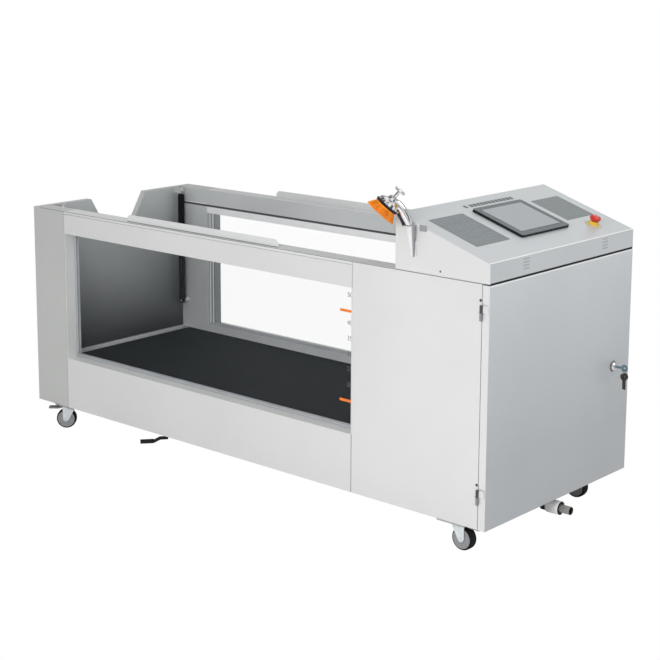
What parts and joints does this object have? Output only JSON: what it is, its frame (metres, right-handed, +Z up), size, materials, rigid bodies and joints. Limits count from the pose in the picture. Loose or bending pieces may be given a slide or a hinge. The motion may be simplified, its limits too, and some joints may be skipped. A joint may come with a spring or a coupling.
{
  "type": "dog underwater treadmill",
  "caption": "Glass-sided hydrotherapy tank on casters with a walking belt, ramp door, sloping control console, shower, drain and machine room.",
  "frame": {"origin": "on the floor, under the middle of the bounding box, wheels resting on z = 0", "axes": "+X along the tank from the ramp end to the machine end, -Y to the front with the shower, +Z up"},
  "size_m": [2.3117, 0.9826, 1.179],
  "materials": {
    "light_panel": "satin powder coat",
    "post_panel": "satin powder coat",
    "liner": "satin coated liner",
    "door_grey": "satin powder coat",
    "console_grey": "satin powder coat",
    "galvanised": "zinc plated",
    "brushed_steel": "brushed",
    "chrome": "polished",
    "brass": "plain",
    "pane": "clear toughened glass",
    "seal": "matt",
    "belt_rubber": "fine ribbed",
    "black_plastic": "moulded",
    "bezel_grey": "moulded",
    "screen_grey": "gloss",
    "stop_yellow": "moulded",
    "stop_red": "gloss",
    "bristle_orange": "soft moulded strands",
    "white_plastic": "moulded",
    "wheel_grey": "matt tread",
    "pump_blue": "enamel"
  },
  "bodies": {
    "tank": {"base_frame": "galvanised", "tank_tub": "liner", "end_sill_panel": "light_panel", "front_wall_panel": "light_panel", "rear_wall_panel": "light_panel", "front_corner_post": "post_panel", "rear_corner_post": "post_panel", "front_top_rail": "light_panel", "rear_top_rail": "light_panel", "front_splash_lip": "light_panel", "rear_splash_lip": "light_panel", "front_gasket": "seal", "rear_gasket": "seal", "front_glass": "pane", "rear_glass": "pane", "front_cabinet_panel": "light_panel", "rear_cabinet_panel": "light_panel", "belt_frame": "brushed_steel", "walking_belt": "belt_rubber", "console_housing": "console_grey", "display_bezel": "bezel_grey", "display_screen": "screen_grey", "stop_collar": "stop_yellow", "upper_hinge": "door_grey", "lower_hinge": "door_grey", "shower_cup": "brushed_steel", "drain_valve_body": "brass", "drain_outlet": "white_plastic", "water_pump": "pump_blue", "filter_housing": "white_plastic", "control_box": "console_grey"},
    "ramp": {"ramp_door": "light_panel"},
    "front_strut": {"front_strut_tube": "black_plastic"},
    "rear_strut": {"rear_strut_tube": "black_plastic"},
    "front_rod": {"front_strut_rod": "chrome"},
    "rear_rod": {"rear_strut_rod": "chrome"},
    "idler": {"idler_roller": "brushed_steel"},
    "drive": {"drive_roller": "brushed_steel"},
    "stop": {"stop_button": "stop_red"},
    "door": {"service_door": "door_grey", "lock_body": "chrome"},
    "lock": {"lock_key": "chrome"},
    "shower": {"shower_handle": "chrome", "handle_grip": "black_plastic", "head_ring": "black_plastic", "brush_bristles": "bristle_orange"},
    "knob": {"flow_knob": "chrome"},
    "lever": {"drain_lever": "black_plastic"},
    "front_left_fork": {"front_left_caster_fork": "galvanised"},
    "front_left_wheel": {"front_left_caster_wheel": "wheel_grey"},
    "front_left_pedal": {"front_left_caster_brake_pedal": "black_plastic"},
    "front_right_fork": {"front_right_caster_fork": "galvanised"},
    "front_right_wheel": {"front_right_caster_wheel": "wheel_grey"},
    "front_right_pedal": {"front_right_caster_brake_pedal": "black_plastic"},
    "rear_left_fork": {"rear_left_caster_fork": "galvanised"},
    "rear_left_wheel": {"rear_left_caster_wheel": "wheel_grey"},
    "rear_right_fork": {"rear_right_caster_fork": "galvanised"},
    "rear_right_wheel": {"rear_right_caster_wheel": "wheel_grey"}
  },
  "joints": [
    {"name": "ramp_fold", "type": "hinge", "parent": "tank", "child": "ramp", "pos_m": [-1.1502, 0.067, 0.278], "axis": [0, -1, 0], "range_deg": [0, 117]},
    {"name": "front_strut_swing", "type": "hinge", "parent": "tank", "child": "front_strut", "pos_m": [-1.0842, -0.26, 0.398], "axis": [0, -1, 0], "range_deg": [0, 118]},
    {"name": "rear_strut_swing", "type": "hinge", "parent": "tank", "child": "rear_strut", "pos_m": [-1.0842, 0.394, 0.398], "axis": [0, -1, 0], "range_deg": [0, 118]},
    {"name": "front_strut_stroke", "type": "slide", "parent": "front_strut", "child": "front_rod", "axis": [0, 0, 1], "range_m": [0, 0.2335]},
    {"name": "rear_strut_stroke", "type": "slide", "parent": "rear_strut", "child": "rear_rod", "axis": [0, 0, 1], "range_m": [0, 0.2335]},
    {"name": "drive_spin", "type": "hinge", "parent": "tank", "child": "drive", "pos_m": [0.6205, 0.067, 0.2395], "axis": [0, 1, 0], "continuous": true},
    {"name": "idler_spin", "type": "hinge", "parent": "tank", "child": "idler", "pos_m": [-1.0485, 0.067, 0.2395], "axis": [0, 1, 0], "continuous": true},
    {"name": "stop_push", "type": "slide", "parent": "tank", "child": "stop", "axis": [-0.3048, 0, -0.9524], "range_m": [0, 0.005], "stiffness_N_per_m": 800},
    {"name": "service_door_swing", "type": "hinge", "parent": "tank", "child": "door", "pos_m": [1.068, -0.3635, 0.498], "axis": [0, 0, -1], "range_deg": [0, 120]},
    {"name": "lock_turn", "type": "hinge", "parent": "door", "child": "lock", "pos_m": [1.096, 0.387, 0.495], "axis": [-1, 0, 0], "range_deg": [0, 90]},
    {"name": "shower_lift", "type": "slide", "parent": "tank", "child": "shower", "axis": [0, -0.1305, 0.9914], "range_m": [0, 0.15]},
    {"name": "knob_turn", "type": "hinge", "parent": "shower", "child": "knob", "pos_m": [0.7409, -0.42783, 1.118], "axis": [0.4984, 0.4287, 0.7536], "range_deg": [0, 90]},
    {"name": "lever_turn", "type": "hinge", "parent": "tank", "child": "lever", "pos_m": [-0.499, -0.253, 0.05], "axis": [0, 0, 1], "range_deg": [-50.7, 39.3]},
    {"name": "front_left_swivel", "type": "hinge", "parent": "tank", "child": "front_left_fork", "pos_m": [-0.989, -0.31, 0.0937], "axis": [0, 0, 1], "continuous": true},
    {"name": "front_left_roll", "type": "hinge", "parent": "front_left_fork", "child": "front_left_wheel", "pos_m": [-1.00787, -0.3264, 0.04], "axis": [-0.6561, 0.7547, 0], "continuous": true},
    {"name": "front_left_brake", "type": "hinge", "parent": "front_left_fork", "child": "front_left_pedal", "pos_m": [-1.02108, -0.33788, 0.0877], "axis": [0.6561, -0.7547, 0], "range_deg": [0, 10]},
    {"name": "front_right_swivel", "type": "hinge", "parent": "tank", "child": "front_right_fork", "pos_m": [0.958, -0.31, 0.0937], "axis": [0, 0, 1], "continuous": true},
    {"name": "front_right_roll", "type": "hinge", "parent": "front_right_fork", "child": "front_right_wheel", "pos_m": [0.983, -0.31, 0.04], "axis": [0, 1, 0], "continuous": true},
    {"name": "front_right_brake", "type": "hinge", "parent": "front_right_fork", "child": "front_right_pedal", "pos_m": [1.0005, -0.31, 0.0877], "axis": [0, 1, 0], "range_deg": [0, 10]},
    {"name": "rear_left_swivel", "type": "hinge", "parent": "tank", "child": "rear_left_fork", "pos_m": [-0.989, 0.362, 0.0937], "axis": [0, 0, 1], "continuous": true},
    {"name": "rear_left_roll", "type": "hinge", "parent": "rear_left_fork", "child": "rear_left_wheel", "pos_m": [-1.014, 0.362, 0.04], "axis": [0, 1, 0], "continuous": true},
    {"name": "rear_right_swivel", "type": "hinge", "parent": "tank", "child": "rear_right_fork", "pos_m": [0.958, 0.362, 0.0937], "axis": [0, 0, 1], "continuous": true},
    {"name": "rear_right_roll", "type": "hinge", "parent": "rear_right_fork", "child": "rear_right_wheel", "pos_m": [0.983, 0.362, 0.04], "axis": [0, 1, 0], "continuous": true}
  ],
  "couplings": [
    {"joint": "front_strut_swing", "follows": "ramp_fold", "ratio": 1.0074},
    {"joint": "rear_strut_swing", "follows": "ramp_fold", "ratio": 1.0074},
    {"joint": "front_strut_stroke", "follows": "ramp_fold", "m_per_rad": 0.11428},
    {"joint": "rear_strut_stroke", "follows": "ramp_fold", "m_per_rad": 0.11428},
    {"joint": "idler_spin", "follows": "drive_spin", "ratio": 1}
  ]
}
